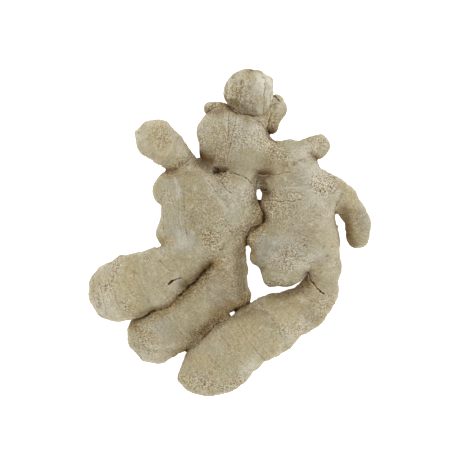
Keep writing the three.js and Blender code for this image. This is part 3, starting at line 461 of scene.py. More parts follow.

# ---- Patches on the upper side: kind, then (x, y, radius, strength) ----
# Ochre, olive and bloom are tints of the skin; tan is partly brown skin and partly painted shade; light is
# painted light on rims and in shaded nooks. A rough patch is scabby, and in the last kind no crease gets
# painted shade.

PATCHES = {
    "ochre": (
        (-37, 51, 7, 0.9), (-52, -26, 15, 0.6), (-66, -28, 8, 0.6), (-30, -16, 9, 0.4),
        (-42, -56, 9, 0.2), (8, -54, 15, 0.5), (-12, -68, 12, 0.4), (30, -40, 10, 0.5), (44, -30, 8, 0.5),
        (24, 4, 6, 0.3), (60, 14, 8, 0.8), (65, 0, 7, 0.6), (44, 44, 6, 0.4), (-11, 50, 5, 0.7),
        (1, 73, 5, 0.7), (9, 80, 5, 0.5), (24, 62, 6, 0.5), (24, 44, 6, 0.4), (54, -6, 5, 0.6),
        (-25, 36, 6, 0.7), (26, 32, 6, 0.4), (20, 19, 6, 0.5), (-8, -20, 8, 0.3), (-24, -76, 5, 0.5),
        (-11, -1, 5, 0.8), (-40, -48, 6, 0.3), (-4, -20, 7, 0.4), (36, -34, 8, 0.4), (-18, -28, 7, 0.5),
        (-8, -46, 8, 0.5), (10, -40, 8, 0.5), (-11, -56, 9, 0.9), (-16, -62, 7, 0.6), (5, -45, 7, 0.5),
        (18, -37, 7, 0.6), (-35, -35, 7, 0.7), (-45, -41, 7, 0.7), (-62, -27, 7, 0.5), (26, -57, 5, 0.6),
        (19, 17, 5, 0.6), (38, 35, 6, 0.5), (-36, 46, 8, 0.4), (-16, 47, 5, 0.5), (-10, 32, 5, 0.5),
        (-14, 36, 5, 1), (-34, 43, 8, 0.4), (-18, 33, 5, 0.5), (-24, -31, 6, 0.4), (12, -38, 6, 0.4),
        (64, -3, 6, 0.5),
    ),
    "olive": (
        (-42, -32, 9, 0.7), (-20, 22, 9, 0.6), (0, -66, 9, 0.5), (-17, -38, 8, 0.5), (-34, -1, 6, 0.6),
        (-16, 12, 10, 0.5), (10, 46, 8, 0.4), (-20, 2, 9, 0.4), (46, -14, 9, 0.4), (30, 8, 10, 0.4),
        (22, -52, 9, 0.4), (-34, -26, 8, 0.5),
    ),
    "bloom": (
        (-30, 22, 8, 0.6), (-28, 8, 7, 0.5), (-25, -4, 7, 0.9), (-1, 18, 9, 0.9), (0, 8, 7, 0.5),
        (-34, -50, 8, 0.6), (-9, -30, 9, 0.4), (-15, -75, 4, 0.9), (-8, -58, 6, 0.5), (32, -8, 13, 1),
        (20, -6, 8, 0.8), (44, 30, 9, 0.9), (34, 26, 7, 0.5), (50, 20, 8, 0.5), (36, 42, 7, 0.6),
        (8, 54, 10, 1), (0, 47, 8, 0.5), (18, 76, 6, 1), (8, 72, 7, 0.7), (70, 8, 4, 0.8),
        (32, 12, 8, 0.4), (40, -44, 5, 0.6), (-60, -18, 6, 0.4), (-65, -38, 4, 0.7), (45, -12, 8, 0.5),
        (44, 8, 9, 0.5), (-10, 56, 6, 0.5), (2, 57, 6, 0.6), (70, 14, 5, 0.6), (52, 26, 5, 0.6),
        (-45, -62, 7, 0.6), (-4, -80, 6, 0.5), (44, 22, 9, 0.6), (34, -16, 7, 0.6), (-28, -4, 6, 0.6),
        (-16, -7, 6, 0.5), (69, 2, 5, 0.5),
    ),
    # partly brown skin, partly painted shade
    "tan_and_shade": (
        (-4, -22, 9, 0.4), (-5, 47, 8, 0.3), (-20, 14, 12, 0.3), (-16, 2, 7, 0.35), (-27, -13, 8, 0.3),
        (38, -2, 9, 0.45), (-6, -38, 8, 0.5), (26, -34, 8, 0.5), (-28, -55, 7, 0.3), (9, 1, 5, 0.5),
        (10, 73, 7, 0.4), (-9, 63, 5, 0.5), (60, -1, 6, 0.6), (-5, 37, 9, 0.4), (20, 34, 7, 0.3),
        (-13, -4, 5, 0.4), (47, -14, 8, 0.3), (28, 4, 9, 0.25), (-12, 9, 9, 0.3), (40, -38, 9, 0.3),
        (5, -40, 6, 0.5), (63, 8, 8, 0.9), (65, -3, 6, 0.6), (-8, -20, 8, 0.5), (-10, -32, 9, 0.35),
        (2, -28, 6, 0.7), (-30, -47, 8, 0.35), (-17, -43, 6, 0.4), (-10, 18, 7, 0.3), (-25, 28, 7, 0.35),
        (32, 30, 9, 0.35), (35, 24, 5, 0.3), (-45, -24, 8, 0.2), (-5, 51, 9, 0.25), (10, 3, 4, 0.4),
        (-28, -22, 7, 0.3), (40, -39, 6, 0.3), (12, 77, 7, 0.3), (2, -52, 9, 0.2), (-11, -1, 6, 0.8),
        (-10, -19, 6, 0.4), (-16, -45, 6, 0.3), (4, 30, 4, 0.2), (10, 66, 5, 0.4), (3, -34, 5, 0.5),
        (38, -10, 10, 0.2), (-4, 16, 7, 0.3), (-18, -32, 8, 0.4), (-20, 15, 6, 0.3), (14, 6, 5, 0.5),
        (38, 6, 12, 0.35), (45, -48, 4, 0.5), (13, 84, 4, 0.8), (-22, 30, 6, 0.2), (3, 45, 10, 0.2),
        (27, 31, 6, 0.2), (-30, -50, 6, 0.3), (14, -46, 8, 0.25), (-10, -21, 7, 0.4), (-9, -40, 8, 0.35),
        (-18, -50, 7, 0.4), (-19, 32, 5, 0.4), (9, 70, 7, 0.3), (28, 64, 3, 0.5), (26, 20, 7, 0.2),
        (-30, 5, 5, 0.3), (-8, -9, 5, 0.3), (8, -41, 7, 0.4), (17, -44, 7, 0.3), (-3, -66, 8, 0.2),
        (-13, 44, 5, 0.3), (4, 46, 8, 0.2), (67, 2, 4, 0.6), (-20, -12, 7, 0.3), (3, -18, 6, 0.3),
    ),
    # painted light: paler skin on rims and in nooks that would be shaded
    "light": (
        (16, 50, 8, 0.8), (19, 76, 7, 0.8), (23, 66, 6, 0.9), (46, 46, 5, 0.5), (-66, -36, 7, 0.6),
        (-60, -14, 7, 0.4), (12, 82, 5, 0.2), (5, 22, 7, 0.4), (40, 41, 5, 0.6), (46, 33, 7, 0.4),
        (56, 17, 5, 0.5), (-30, -3, 6, 0.5), (-36, -9, 5, 0.4), (-15, 48, 4, 0.6), (-38, -35, 6, 0.5),
        (30, -55, 8, 0.5), (12, -66, 7, 0.4), (-40, -64, 7, 0.4), (-40, 42, 7, 0.4), (-47, 50, 6, 0.6),
        (-26, 46, 7, 0.7), (-14, 52, 4, 0.5), (-2, 74, 5, 0.9), (55, -6, 8, 0.35), (52, 5, 7, 0.3),
        (13, 60, 5, 1), (-4, 29, 5, 0.5), (-60, -34, 9, 0.4), (8, -76, 6, 0.5), (8, -14, 3, 0.5),
        (-37, 0, 4, 0.6), (18, -41, 4, 0.4), (22, -28, 4, 0.4), (-14, 35, 4, 0.7), (-19, 38, 7, 0.9),
        (-41, 57, 6, 0.6), (-30, 53, 6, 0.6), (12, 27, 5, 1), (43, -20, 4, 1), (-42, -45, 5, 0.5),
        (51, 10, 9, 0.3), (53, -18, 7, 0.3), (54, 13, 4, 0.8), (36, 40, 6, 0.4), (-33, -33, 5, 0.4),
        (-26, -28, 4, 0.3), (-12, 66, 4, 0.7), (-18, -58, 5, 0.5), (-60, -44, 5, 0.5), (30, -30, 5, 0.3),
        (-14, 45, 4, 0.8), (-6, 28, 6, 0.5), (4, 59.6, 5, 0.8), (13, 57.4, 5, 0.8), (-11, 32.4, 5, 1),
        (38, -49, 4, 0.5), (-1, 77, 4, 0.5), (27, -24, 5, 0.4), (13, -31, 4, 0.5), (10, 22, 5, 0.6),
        (47, 21, 8, 0.5), (45, 30, 6, 0.4), (-28, -25, 6, 0.4), (52, -36, 6, 0.4), (-24, -2, 5, 0.4),
        (-5, -1, 5, 0.3), (-20, 42, 5, 0.8), (8, -13, 3, 0.6), (44, 38, 4, 0.5), (-34, 30, 4, 0.6),
        (-64, -24, 9, 0.4), (39, -31, 5, 0.5), (30, -50, 7, 0.3),
    ),
    "rough": (
        (-37, 50, 7, 0.6), (-66, -30, 9, 0.5), (14, 0, 8, 0.6), (2, 72, 7, 0.8), (9, 80, 5, 0.6),
        (16, 50, 7, 0.5), (-45, -56, 9, 0.55), (24, 44, 7, 0.6), (-2, 22, 8, 0.5), (48, 26, 8, 0.6),
        (-8, -10, 8, 0.5), (-14, -77, 10, 0.6), (-34, 18, 5, 0.7), (-10, 65, 5, 1), (20, 10, 7, 0.5),
        (6, -2, 7, 0.6), (0, 50, 12, 0.3), (-8, 38, 8, 0.4), (50, -40, 10, 0.9), (6, 72, 7, 0.5),
        (17, 18, 8, 0.5), (-16, 48, 5, 0.5), (-12, 12, 14, 0.35), (14, 14, 10, 0.5), (-10, 52, 8, 0.4),
        (44, 46, 7, 0.4), (16, 50, 8, 0.3), (33, -12, 10, 0.8), (30, 8, 12, 0.3), (46, 8, 8, 0.3),
    ),
    # places where no crease gets painted shade
    "no_crease_shade": (
        (-19, 38, 3, 1), (-16, 37, 4, 1), (12, 27, 4, 1), (15.5, 26, 3, 0.7), (13, 60, 4, 0.7),
        (17, 58, 4, 0.9), (21.5, 66, 4, 1), (20, -33, 4, 0.5), (43, 40, 3, 0.5), (-31, 32, 3, 0.6),
        (20, 60, 3, 0.6), (-7.5, -13.4, 3, 1), (-18, -56, 5, 0.6), (-11, -50, 5, 0.5), (-4, -44, 5, 0.5),
        (43, -20, 3, 0.8), (8, 60, 3, 0.5), (-11.6, 33.8, 4, 1), (-1, -43, 4, 0.6),
    ),
}


def from_line(p, points):
    """How far points p are, seen from above, from a line of straight pieces: less than nothing on its right,
    more than nothing on its left. Also how far past its ends they are."""
    line = np.array(points, float)
    nearest = np.full(len(p), np.inf)
    beyond = np.zeros(len(p))
    for i, (a, b) in enumerate(zip(line[:-1], line[1:])):
        step = b - a
        length = np.linalg.norm(step)
        share = (p[:, :2] - a) @ step / length ** 2
        past = np.clip(-share if i == 0 else 0, 0, None)
        past = np.maximum(past, np.clip(share - 1 if i == len(line) - 2 else 0, 0, None))
        apart = p[:, :2] - a - np.clip(share, 0, 1)[:, None] * step
        side = np.where(step[0] * apart[:, 1] < step[1] * apart[:, 0], -1, 1)
        off = np.linalg.norm(apart, axis=1) * side
        closer = np.abs(off) < np.abs(nearest)
        nearest = np.where(closer, off, nearest)
        beyond = np.where(closer, past * length, beyond)
    return nearest, beyond


class Lines:
    """Thin dark lines at points p: how strong the strongest one near them is, and how far off it runs."""

    def __init__(self, p):
        self.strength = np.zeros(len(p))
        self.off = np.full(len(p), LINE_REACH)

    def draw(self, near, strength, off):
        """Lays a line over the points with these numbers, where it is stronger than what is there."""
        strength = strength * (1 - smooth(0.4 * LINE_REACH, 0.9 * LINE_REACH, np.abs(off)))
        stronger = strength > self.strength[near]
        self.strength[near[stronger]] = strength[stronger]
        self.off[near[stronger]] = np.clip(off[stronger], -LINE_REACH, LINE_REACH)


class Rings:
    """What rings the lobes at points p, each lobe fading out where it dips under the others.

    height: how high the torn leaf edges stand. along: mm along the axis. band: a tint of its own for each
    length between two rings, from -1 to 1. sole: 1 where one lobe has the skin to itself, 0 where it doesn't.
    """

    def __init__(self, field, p, lines):
        self.height = np.zeros(len(p))
        self.along = np.zeros(len(p))
        self.band = np.zeros(len(p))
        most = np.zeros(len(p))
        total = np.full(len(p), 1e-6)
        for n, lobe in enumerate(field.lobes):
            if lobe.name not in RINGS:
                continue
            near = lobe.near(p)
            here = p[near]
            distance, along = lobe.measure(here)
            along = along + RING_WOBBLE * noise(here, 9, 3) + RING_TREMBLE * noise(here, 2.6, 4)
            shown = 1 - smooth(1, RING_FADE, distance)
            broken = smooth(-0.75, -0.1, noise(here, 8, 16))
            rings = RINGS[lobe.name]
            for at, strength in rings:
                past = along - at
                edge = np.where(past < 0, np.exp(past / RING_RISE), np.exp(-(past / RING_FALL) ** 2))
                self.height[near] = np.maximum(self.height[near], strength * shown * edge)
                lines.draw(near, strength * shown * broken, past)
            total[near] += shown
            most[near] = np.maximum(most[near], shown)
            self.along[near] += shown * along
            tint = np.sin(2.1 * np.searchsorted([at for at, _ in rings], along) + 1.7 * n)
            self.band[near] += shown * tint
        self.height *= RING_HEIGHT
        self.along /= total
        self.band /= total
        self.sole = smooth(0.7, 1, most / total)


def strayed(p):
    """Points p, moved a little so that what is laid over them gets an uneven edge."""
    stray = p.copy()
    stray[:, 0] += 0.5 * noise(p, 3.2, 6)
    stray[:, 1] += 0.5 * noise(p, 3.2, 7)
    return stray


def draw_lines(p, up, lines):
    """Lays the dark lines over those of the points p whose normals don't point down."""
    seen = np.flatnonzero(up > -0.1)
    stray = strayed(p[seen])
    for strength, points in LINES:
        off, beyond = from_line(stray, points)
        lines.draw(seen, strength * (1 - smooth(0, 1, beyond)), off)


def marks(p, up, kind):
    """How strongly marks of one kind cover points p whose normals point up by this much."""
    cover = np.zeros(len(p))
    stray = strayed(p)
    for width, strength, points in MARKS[kind]:
        off, _ = from_line(stray, points)
        cover = np.maximum(cover, strength * np.exp(-(off / width) ** 2))
    return cover * smooth(-0.5, -0.1, up)


def patches(p, up, kind):
    """How strongly patches of one kind cover points p whose normals point up by this much."""
    cover = np.zeros(len(p))
    stray = noise(p, 6, 8)
    for x, y, radius, strength in PATCHES[kind]:
        off = np.hypot(p[:, 0] - x, p[:, 1] - y) + 0.35 * radius * stray
        cover += strength * (1 - smooth(0.35 * radius, 1.25 * radius, off))
    return np.clip(cover * smooth(-0.2, 0.3, up), 0, 1)


# ---- The fine skin ----

def close_copy(node):
    """A close, even mesh of the solid's own skin."""
    coarse = bpy.data.objects.new("coarse", node.data.copy())
    bpy.context.scene.collection.objects.link(coarse)
    remesh = coarse.modifiers.new("remesh", "REMESH")
    remesh.mode = "VOXEL"
    remesh.voxel_size = VOXEL * MM
    bpy.context.view_layer.update()
    seen = coarse.evaluated_get(bpy.context.evaluated_depsgraph_get())
    mesh = bpy.data.meshes.new_from_object(seen)
    bpy.data.objects.remove(coarse)
    return mesh


def points_of(mesh):
    """The mesh's points in mm."""
    flat = np.empty(len(mesh.vertices) * 3)
    mesh.vertices.foreach_get("co", flat)
    return flat.reshape(-1, 3) / MM


def move_points(mesh, p):
    """Puts the mesh's points at p, given in mm."""
    mesh.vertices.foreach_set("co", (p * MM).ravel())
    mesh.update()


def normals_of(mesh):
    """The normals at the mesh's points."""
    flat = np.empty(len(mesh.vertices) * 3)
    mesh.vertex_normals.foreach_get("vector", flat)
    return flat.reshape(-1, 3)


def settle(p, field, rounds=3):
    """Moves points onto the field's skin. Those that rest on the floor stay there."""
    resting = p[:, 2] < RESTING
    start = p.copy()
    for _ in range(rounds):
        value, gradient = field.slope(p)
        squared = np.maximum((gradient ** 2).sum(1), 0.2)
        p = p - np.clip(value, -1, 1)[:, None] * gradient / squared[:, None]
    p[resting] = start[resting]
    return p


def closeness(field, p, normals, reach):
    """0 where the skin is open, 1 deep in a crease: how near other skin is, this many mm away from points p,
    in a ring of directions that tilt away from the normals."""
    side = np.cross(normals, SLANT)
    side /= np.maximum(np.linalg.norm(side, axis=1), 1e-6)[:, None]
    other = np.cross(normals, side)
    ahead = reach * np.cos(LOOK_TILT)
    total = np.zeros(len(p))
    for turn in np.arange(LOOK_WAYS) * 2 * np.pi / LOOK_WAYS:
        beside = reach * np.sin(LOOK_TILT) * (np.cos(turn) * side + np.sin(turn) * other)
        total += np.clip(field.look(p + ahead * normals + beside) / ahead, 0, 1)
    return 1 - total / LOOK_WAYS


def store(mesh, name, values):
    """Keeps a value for each point of the mesh, for the material to read."""
    layer = mesh.attributes.new(name, "FLOAT", "POINT")
    layer.data.foreach_set("value", np.asarray(values, np.float32))


def dents(p, up):
    """How dark and deep the small round pits at points p are."""
    depth = np.zeros(len(p))
    stray = 0.25 * noise(p, 1.4, 18)
    for x, y in DOTS:
        off = np.hypot(p[:, 0] - x, (p[:, 1] - y) * DOT_SQUEEZE) + stray
        depth = np.maximum(depth, np.exp(-(off / DOT_RADIUS) ** 2))
    return depth * (up > 0.1)


def stubs(p):
    """How high the stubs stand at points p. They are twice as wide up and down."""
    height = np.zeros(len(p))
    for x, y, z, radius, high in STUBS:
        off = np.linalg.norm((p - (x, y, z)) * (1, 1, 0.5), axis=1)
        height += high * np.exp(-(off / radius) ** 2)
    return height


def from_bud(p, up):
    """How far points p are from the middle of the bud scar, in its radii."""
    off = np.hypot(p[:, 0] - BUD_SCAR[0], p[:, 1] - BUD_SCAR[1]) / BUD_SCAR_RADIUS
    return np.where(up > 0, off + 0.15 * noise(p, 2, 19), 9)


def eye_wrinkles(p, up):
    """The wrinkles round the thumb's tip at points p, from -1 to 1."""
    off = np.linalg.norm(p[:, :2] - THUMB_EYE, axis=1) + 0.9 * noise(p, 4, 10)
    return np.sin(off * 2.4) * (1 - smooth(6, 12, off)) * smooth(-0.1, 0.3, up)


def relief(p, ring, lines, rough, bud, wrinkles, pits):
    """How far the skin stands out at points p."""
    height = ring.height + stubs(p)
    height += sum(high * noise(p, length, seed) for high, length, seed in LUMPS)
    stripes = np.stack([ring.along, 0.1 * p[:, 0], 0.1 * p[:, 1]], axis=1)
    height += STRIPE_HEIGHT * ring.sole * noise(stripes, 1.9, 17) + EYE_HEIGHT * wrinkles
    height += rough * (RIDGE_HEIGHT * np.abs(noise(p, 2.2, 14)) + CRUMB_HEIGHT * noise(p, 1.4, 15))
    groove = np.minimum(lines.strength, 1.2) * np.exp(-(lines.off / 0.5) ** 2)
    height -= LINE_DEPTH * groove + PIT_DEPTH * pits
    return height - SCAR_DEPTH * np.exp(-((bud - 0.85) / 0.25) ** 2)


def grow_skin(node):
    """The fine skin of the solid's node, with its relief and what its material reads."""
    field = Field()
    mesh = close_copy(node)
    p = settle(points_of(mesh), field)
    move_points(mesh, p)
    normals = normals_of(mesh)
    up = normals[:, 2]

    lines = Lines(p)
    ring = Rings(field, p, lines)
    draw_lines(p, up, lines)
    rough = marks(p, up, "rough") + 0.7 * patches(p, up, "rough") + 0.4 * smooth(0.1, 0.6, noise(p, 9, 9))
    # how deep in a crease the skin lies; creases get painted shade, brown then dark, except in patches of the
    # last kind
    crease = closeness(field, p, normals, CREASE_LOOK) * (1 - patches(p, up, "no_crease_shade"))
    # how hollow the skin is; the material lays warm painted shade in the hollows
    hollow = closeness(field, p, normals, HOLLOW_LOOK)
    steep = smooth(0.3, 0.9, 1 - up)

    bud = from_bud(p, up)
    wrinkles = eye_wrinkles(p, up)
    pits = dents(p, up)
    bud_rough = 1 - smooth(0.6, 1.3, bud)
    rough = np.clip(rough + bud_rough + 0.5 * smooth(0.2, 0.6, hollow) + 0.5 * steep, 0, 1)
    height = relief(p, ring, lines, rough, bud, wrinkles, pits) * (1 - smooth(0.2, 0.5, crease))

    lowest, highest = (np.array(corner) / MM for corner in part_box(node.name))
    free = p[:, 2] > RESTING
    p[free] += height[free, None] * normals[free]
    p = np.clip(p, lowest, highest)
    move_points(mesh, p)

    store(mesh, "line", lines.strength)
    store(mesh, "line_off", lines.off)
    store(mesh, "dot", pits)
    store(mesh, "rough", rough)
    store(mesh, "crease", crease + 0.08 * noise(p, 1.5, 5))
    store(mesh, "hollow", hollow)
    store(mesh, "along", ring.along)
    store(mesh, "sole", ring.sole)
    store(mesh, "band", ring.band)
    # painted light: steep sides away from the hollows are made paler, as rims look under light from all round
    store(mesh, "side", steep * (1 - smooth(0.2, 0.5, hollow)))
    store(mesh, "ochre", patches(p, up, "ochre") + 0.3 * np.maximum(wrinkles, 0))
    for kind in ("olive", "bloom", "tan_and_shade", "light"):
        store(mesh, kind, patches(p, up, kind))
    for kind in ("pale", "shade"):
        store(mesh, kind, marks(p, up, kind))
    mesh.polygons.foreach_set("use_smooth", np.ones(len(mesh.polygons), bool))
    return mesh


# ---- The skin's material ----

class Nodes:
    """Short calls for a material's nodes."""

    def __init__(self, material):
        material.use_nodes = True
        self.tree = material.node_tree
        self.tree.nodes.clear()

    def add(self, kind, **settings):
        """A new node of this kind."""
        node = self.tree.nodes.new("ShaderNode" + kind)
        for key, value in settings.items():
            setattr(node, key, value)
        return node

    def link(self, source, target):
        self.tree.links.new(source, target)

    def set_inputs(self, node, values):
        for name, value in values.items():
            node.inputs[name].default_value = value

    def attribute(self, name):
        """What grow_skin stored under this name."""
        return self.add("Attribute", attribute_name=name).outputs["Fac"]

    def noise(self, scale, detail, roughness=0.6, distortion=0.0, at=None):
        """Noise with about this many bumps to a metre, or to a unit of the place it is read at."""
        texture = self.add("TexNoise")
        self.link(at or self.add("TexCoord").outputs["Object"], texture.inputs["Vector"])
        values = {"Scale": scale, "Detail": detail, "Roughness": roughness, "Distortion": distortion}
        self.set_inputs(texture, values)
        return texture.outputs["Fac"]

    def between(self, value, low, high, to_low=0.0, to_high=1.0):
        """to_low up to low, to_high from high on, and a straight slope between them."""
        node = self.add("MapRange", clamp=True)
        self.link(value, node.inputs["Value"])
        self.set_inputs(node, {"From Min": low, "From Max": high, "To Min": to_low, "To Max": to_high})
        return node.outputs["Result"]

    def math(self, operation, *values):
        """What an operation makes of sockets and plain numbers."""
        node = self.add("Math", operation=operation)
        for socket, value in zip(node.inputs, values):
            if isinstance(value, (int, float)):
                socket.default_value = value
            else:
                self.link(value, socket)
        return node.outputs[0]

    def coat(self, under, over, share, *more):
        """One colour laid over another, as strongly as the product of the shares."""
        for factor in more:
            share = self.math("MULTIPLY", share, factor)
        node = self.add("Mix", data_type="RGBA")
        sockets = {s.identifier: s for s in node.inputs}
        for name, value in (("Factor_Float", share), ("A_Color", under), ("B_Color", over)):
            if isinstance(value, tuple):
                sockets[name].default_value = (*value, 1)
            else:
                self.link(value, sockets[name])
        return next(s for s in node.outputs if s.identifier == "Result_Color")


def linear(red, green, blue):
    """A colour given as it looks on a screen, from 0 to 255, in the light's own numbers."""
    shares = (value / 255 for value in (red, green, blue))
    return tuple(s / 12.92 if s <= 0.04045 else ((s + 0.055) / 1.055) ** 2.4 for s in shares)


BASE = linear(155, 149, 124)
OCHRE = linear(168, 152, 110)
OLIVE = linear(156, 150, 114)
ROSE = linear(172, 151, 128)
BLOOM = linear(165, 162, 149)
PALE = linear(205, 200, 184)
TAN = linear(122, 104, 70)
BROWN = linear(88, 62, 24)
SPECK = linear(96, 77, 48)
CRUMB = linear(205, 190, 152)
DARK = linear(40, 25, 8)
# warm brown for the hollows: painted shade
HOLLOW_SHADE = linear(150, 120, 48)
GROWTH_LINE_SPREAD = 180.0  # their noise's units to a metre across the skin, against 1000 along an axis
SPECULAR = 0.12
BUMP_STRENGTH = 0.8
BUMP_HEIGHT = 0.0009  # metres


def skin_material():
    """Dry papery skin: tints, painted light and painted shade, growth lines, grain, crumbs and specks, then
    lines, creases darkened as painted shade, and pits.
    """
    material = bpy.data.materials.new("ginger_skin")
    n = Nodes(material)
    shader = n.add("BsdfPrincipled")
    output = n.add("OutputMaterial")
    n.link(shader.outputs[0], output.inputs["Surface"])

    broad = n.noise(90, detail=3)
    middle = n.noise(330, detail=5, distortion=0.6)
    green = n.noise(210, detail=3, distortion=0.5)
    pink = n.noise(240, detail=3, distortion=0.3)
    fine = n.noise(1250, detail=2, roughness=0.6, distortion=0.4)
    specks = n.noise(1500, detail=2, roughness=0.5)
    crumbs = n.noise(1350, detail=2, roughness=0.5, distortion=0.3)
    wander = n.between(n.noise(700, detail=3), 0.3, 0.7, -LINE_WANDER, LINE_WANDER)
    ragged = n.between(n.noise(800, detail=3), 0.42, 0.54, 0.4, 1.0)

    position = n.add("SeparateXYZ")
    n.link(n.add("TexCoord").outputs["Object"], position.inputs[0])
    lengthwise = n.add("CombineXYZ")
    n.link(n.attribute("along"), lengthwise.inputs["X"])
    n.link(n.math("MULTIPLY", position.outputs["X"], GROWTH_LINE_SPREAD), lengthwise.inputs["Y"])
    n.link(n.math("MULTIPLY", position.outputs["Y"], GROWTH_LINE_SPREAD), lengthwise.inputs["Z"])
    growth = n.noise(1.4, detail=3, roughness=0.7, at=lengthwise.outputs[0])

    rough = n.attribute("rough")
    sole = n.attribute("sole")
    hollow = n.attribute("hollow")
    crease = n.attribute("crease")
    grainy = n.math("ADD", n.math("MULTIPLY", rough, 0.75), 0.25)

    offset = n.math("ADD", n.attribute("line_off"), wander)
    line = n.math("MULTIPLY", n.attribute("line"), ragged)
    faint = n.math("MINIMUM", line, 1.0)
    widened = n.math("ADD", n.math("MULTIPLY", line, 0.4), 0.6)
    apart = n.math("DIVIDE", n.math("ABSOLUTE", offset), widened)
    drawn = n.between(apart, 0.4 * LINE_WIDTH, 1.3 * LINE_WIDTH, 1.0, 0.0)
    beside = n.math("ABSOLUTE", n.math("ADD", offset, 2 * LINE_WIDTH))
    torn = n.between(beside, 0.1, 0.5, 1.0, 0.0)

    coats = (  # from the lowest to the topmost: a colour, and shares that are multiplied
        (OCHRE, n.between(broad, 0.42, 0.6, 0, 0.4)),
        (BLOOM, n.between(middle, 0.5, 0.64, 0, 0.4)),
        (OLIVE, n.between(green, 0.52, 0.62, 0, 0.5)),
        (ROSE, n.between(pink, 0.54, 0.64, 0, 0.4)),
        (OCHRE, n.between(n.attribute("band"), -1, 1, 0, 0.3)),
        (OCHRE, n.attribute("ochre"), 0.75),
        (OLIVE, n.attribute("olive"), 0.7),
        (BLOOM, n.attribute("bloom"), 0.8),
        # painted light: steep sides made paler
        (PALE, n.attribute("side"), 0.5),
        # brown skin and painted shade
        (TAN, n.attribute("tan_and_shade"), 0.5),
        # painted shade: the hollows turn warm brown
        (HOLLOW_SHADE, n.between(hollow, 0.18, 0.6, 0, 0.9)),
        # painted light on rims and in shaded nooks
        (PALE, n.attribute("light"), 0.5),
        (PALE, n.attribute("pale"), 0.8),
        (TAN, sole, n.between(growth, 0.46, 0.3, 0, 0.4)),
        (PALE, sole, n.between(growth, 0.54, 0.7, 0, 0.4)),
        (TAN, grainy, n.between(fine, 0.5, 0.4, 0, 0.8)),
        (PALE, grainy, n.between(fine, 0.5, 0.6, 0, 0.7)),
        (CRUMB, rough, n.between(crumbs, 0.53, 0.6), 0.8),
        # painted shade along creases and under overhangs
        (BROWN, n.attribute("shade"), 0.75),
        (SPECK, rough, n.between(specks, 0.53, 0.6), 0.9),
        (BROWN, n.between(specks, 0.66, 0.7, 0, 0.7)),
        (PALE, faint, torn, 0.3),
        (BROWN, faint, drawn, 0.8),
        (DARK, n.between(line, 1, 2), drawn),
        # painted shade: deep creases turn brown, then dark
        (BROWN, n.between(crease, 0.34, 0.5, 0, 0.5)),
        (DARK, n.between(crease, 0.5, 0.72, 0, 0.9)),
        (DARK, n.attribute("dot"), 0.95),
    )
    colour = BASE
    for over, *shares in coats:
        colour = n.coat(colour, over, *shares)
    n.link(colour, shader.inputs["Base Color"])

    n.link(n.between(middle, 0.3, 0.7, 0.62, 0.82), shader.inputs["Roughness"])
    shader.inputs["Specular IOR Level"].default_value = SPECULAR

    relief = n.math("ADD", n.math("MULTIPLY", fine, 0.7), n.math("MULTIPLY", specks, 0.3))
    bump = n.add("Bump")
    n.set_inputs(bump, {"Strength": BUMP_STRENGTH, "Distance": BUMP_HEIGHT})
    n.link(relief, bump.inputs["Height"])
    n.link(bump.outputs[0], shader.inputs["Normal"])
    return material


# ---- Floor, light and camera ----

FLOOR_SIZE = 4.0  # metres from the middle to an edge
FLOOR_COLOUR = (0.95, 0.95, 0.95, 1)
FLOOR_ROUGHNESS = 0.9
FLOOR_GLOW = 0.85  # the floor glows, so that no shadow shows on it, as none does in the photograph
WORLD_STRENGTH = 1.0
KEY_PLACE = (0.3, 0.36, 1.25)  # metres
KEY_SIZE = 1.1  # metres
KEY_POWER = 6  # watts


def floor_material():
    material = bpy.data.materials.new("floor")
    n = Nodes(material)
    shader = n.add("BsdfPrincipled")
    n.link(shader.outputs[0], n.add("OutputMaterial").inputs["Surface"])
    n.set_inputs(shader, {"Base Color": FLOOR_COLOUR, "Roughness": FLOOR_ROUGHNESS})
    n.set_inputs(shader, {"Emission Color": (1, 1, 1, 1), "Emission Strength": FLOOR_GLOW})
    return material


def make_floor():
    size = FLOOR_SIZE
    mesh = bpy.data.meshes.new("floor")
    corners = [(-size, -size, 0), (size, -size, 0), (size, size, 0), (-size, size, 0)]
    mesh.from_pydata(corners, [], [(0, 1, 2, 3)])
    mesh.materials.append(floor_material())
    floor = bpy.data.objects.new("floor", mesh)
    bpy.context.scene.collection.objects.link(floor)
    return floor


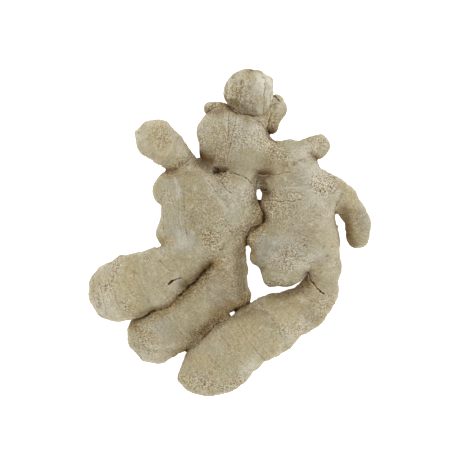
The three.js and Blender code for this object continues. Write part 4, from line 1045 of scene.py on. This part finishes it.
def make_key_light():
    """A soft square lamp that faces the object."""
    lamp = bpy.data.lights.new("key", "AREA")
    lamp.shape = "SQUARE"
    lamp.size = KEY_SIZE
    lamp.energy = KEY_POWER
    light = bpy.data.objects.new("key", lamp)
    light.location = KEY_PLACE
    light.rotation_mode = "QUATERNION"
    light.rotation_quaternion = (-Vector(KEY_PLACE)).to_track_quat("-Z", "Y")
    bpy.context.scene.collection.objects.link(light)


def make_world():
    """Even white light from all round."""
    world = bpy.data.worlds.new("studio")
    world.use_nodes = True
    background = world.node_tree.nodes["Background"]
    background.inputs["Color"].default_value = (1, 1, 1, 1)
    background.inputs["Strength"].default_value = WORLD_STRENGTH
    bpy.context.scene.world = world


def make_camera():
    """Straight above, at the distance where the lobes' widest height is as large as in the photograph."""
    camera = bpy.data.cameras.new("camera")
    camera.lens = LENS
    camera.sensor_width = SENSOR
    seen = bpy.data.objects.new("camera", camera)
    across = PHOTO_SIZE * MM_PER_PIXEL
    centre = PHOTO_SIZE / 2
    seen.location = (
        (centre - ORIGIN_PIXEL[0]) * MM_PER_PIXEL * MM,
        (ORIGIN_PIXEL[1] - centre) * MM_PER_PIXEL * MM,
        (WIDEST_HEIGHT + across * LENS / SENSOR) * MM,
    )
    bpy.context.scene.collection.objects.link(seen)
    bpy.context.scene.camera = seen


# ---- The scene ----

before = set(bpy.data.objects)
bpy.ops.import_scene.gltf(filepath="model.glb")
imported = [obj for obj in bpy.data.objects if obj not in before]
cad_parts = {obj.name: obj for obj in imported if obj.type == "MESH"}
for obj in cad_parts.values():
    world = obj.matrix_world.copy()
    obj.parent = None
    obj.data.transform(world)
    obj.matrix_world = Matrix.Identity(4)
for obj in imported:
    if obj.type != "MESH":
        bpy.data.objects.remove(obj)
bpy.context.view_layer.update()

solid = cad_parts["ginger_rhizome"]
skin = bpy.data.objects.new("ginger_skin", grow_skin(solid))
bpy.context.scene.collection.objects.link(skin)
skin.data.materials.clear()
skin.data.materials.append(skin_material())
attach(skin, "root")
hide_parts("ginger_rhizome")

make_floor()
make_world()
make_key_light()
make_camera()
bpy.context.scene.view_settings.view_transform = "Standard"
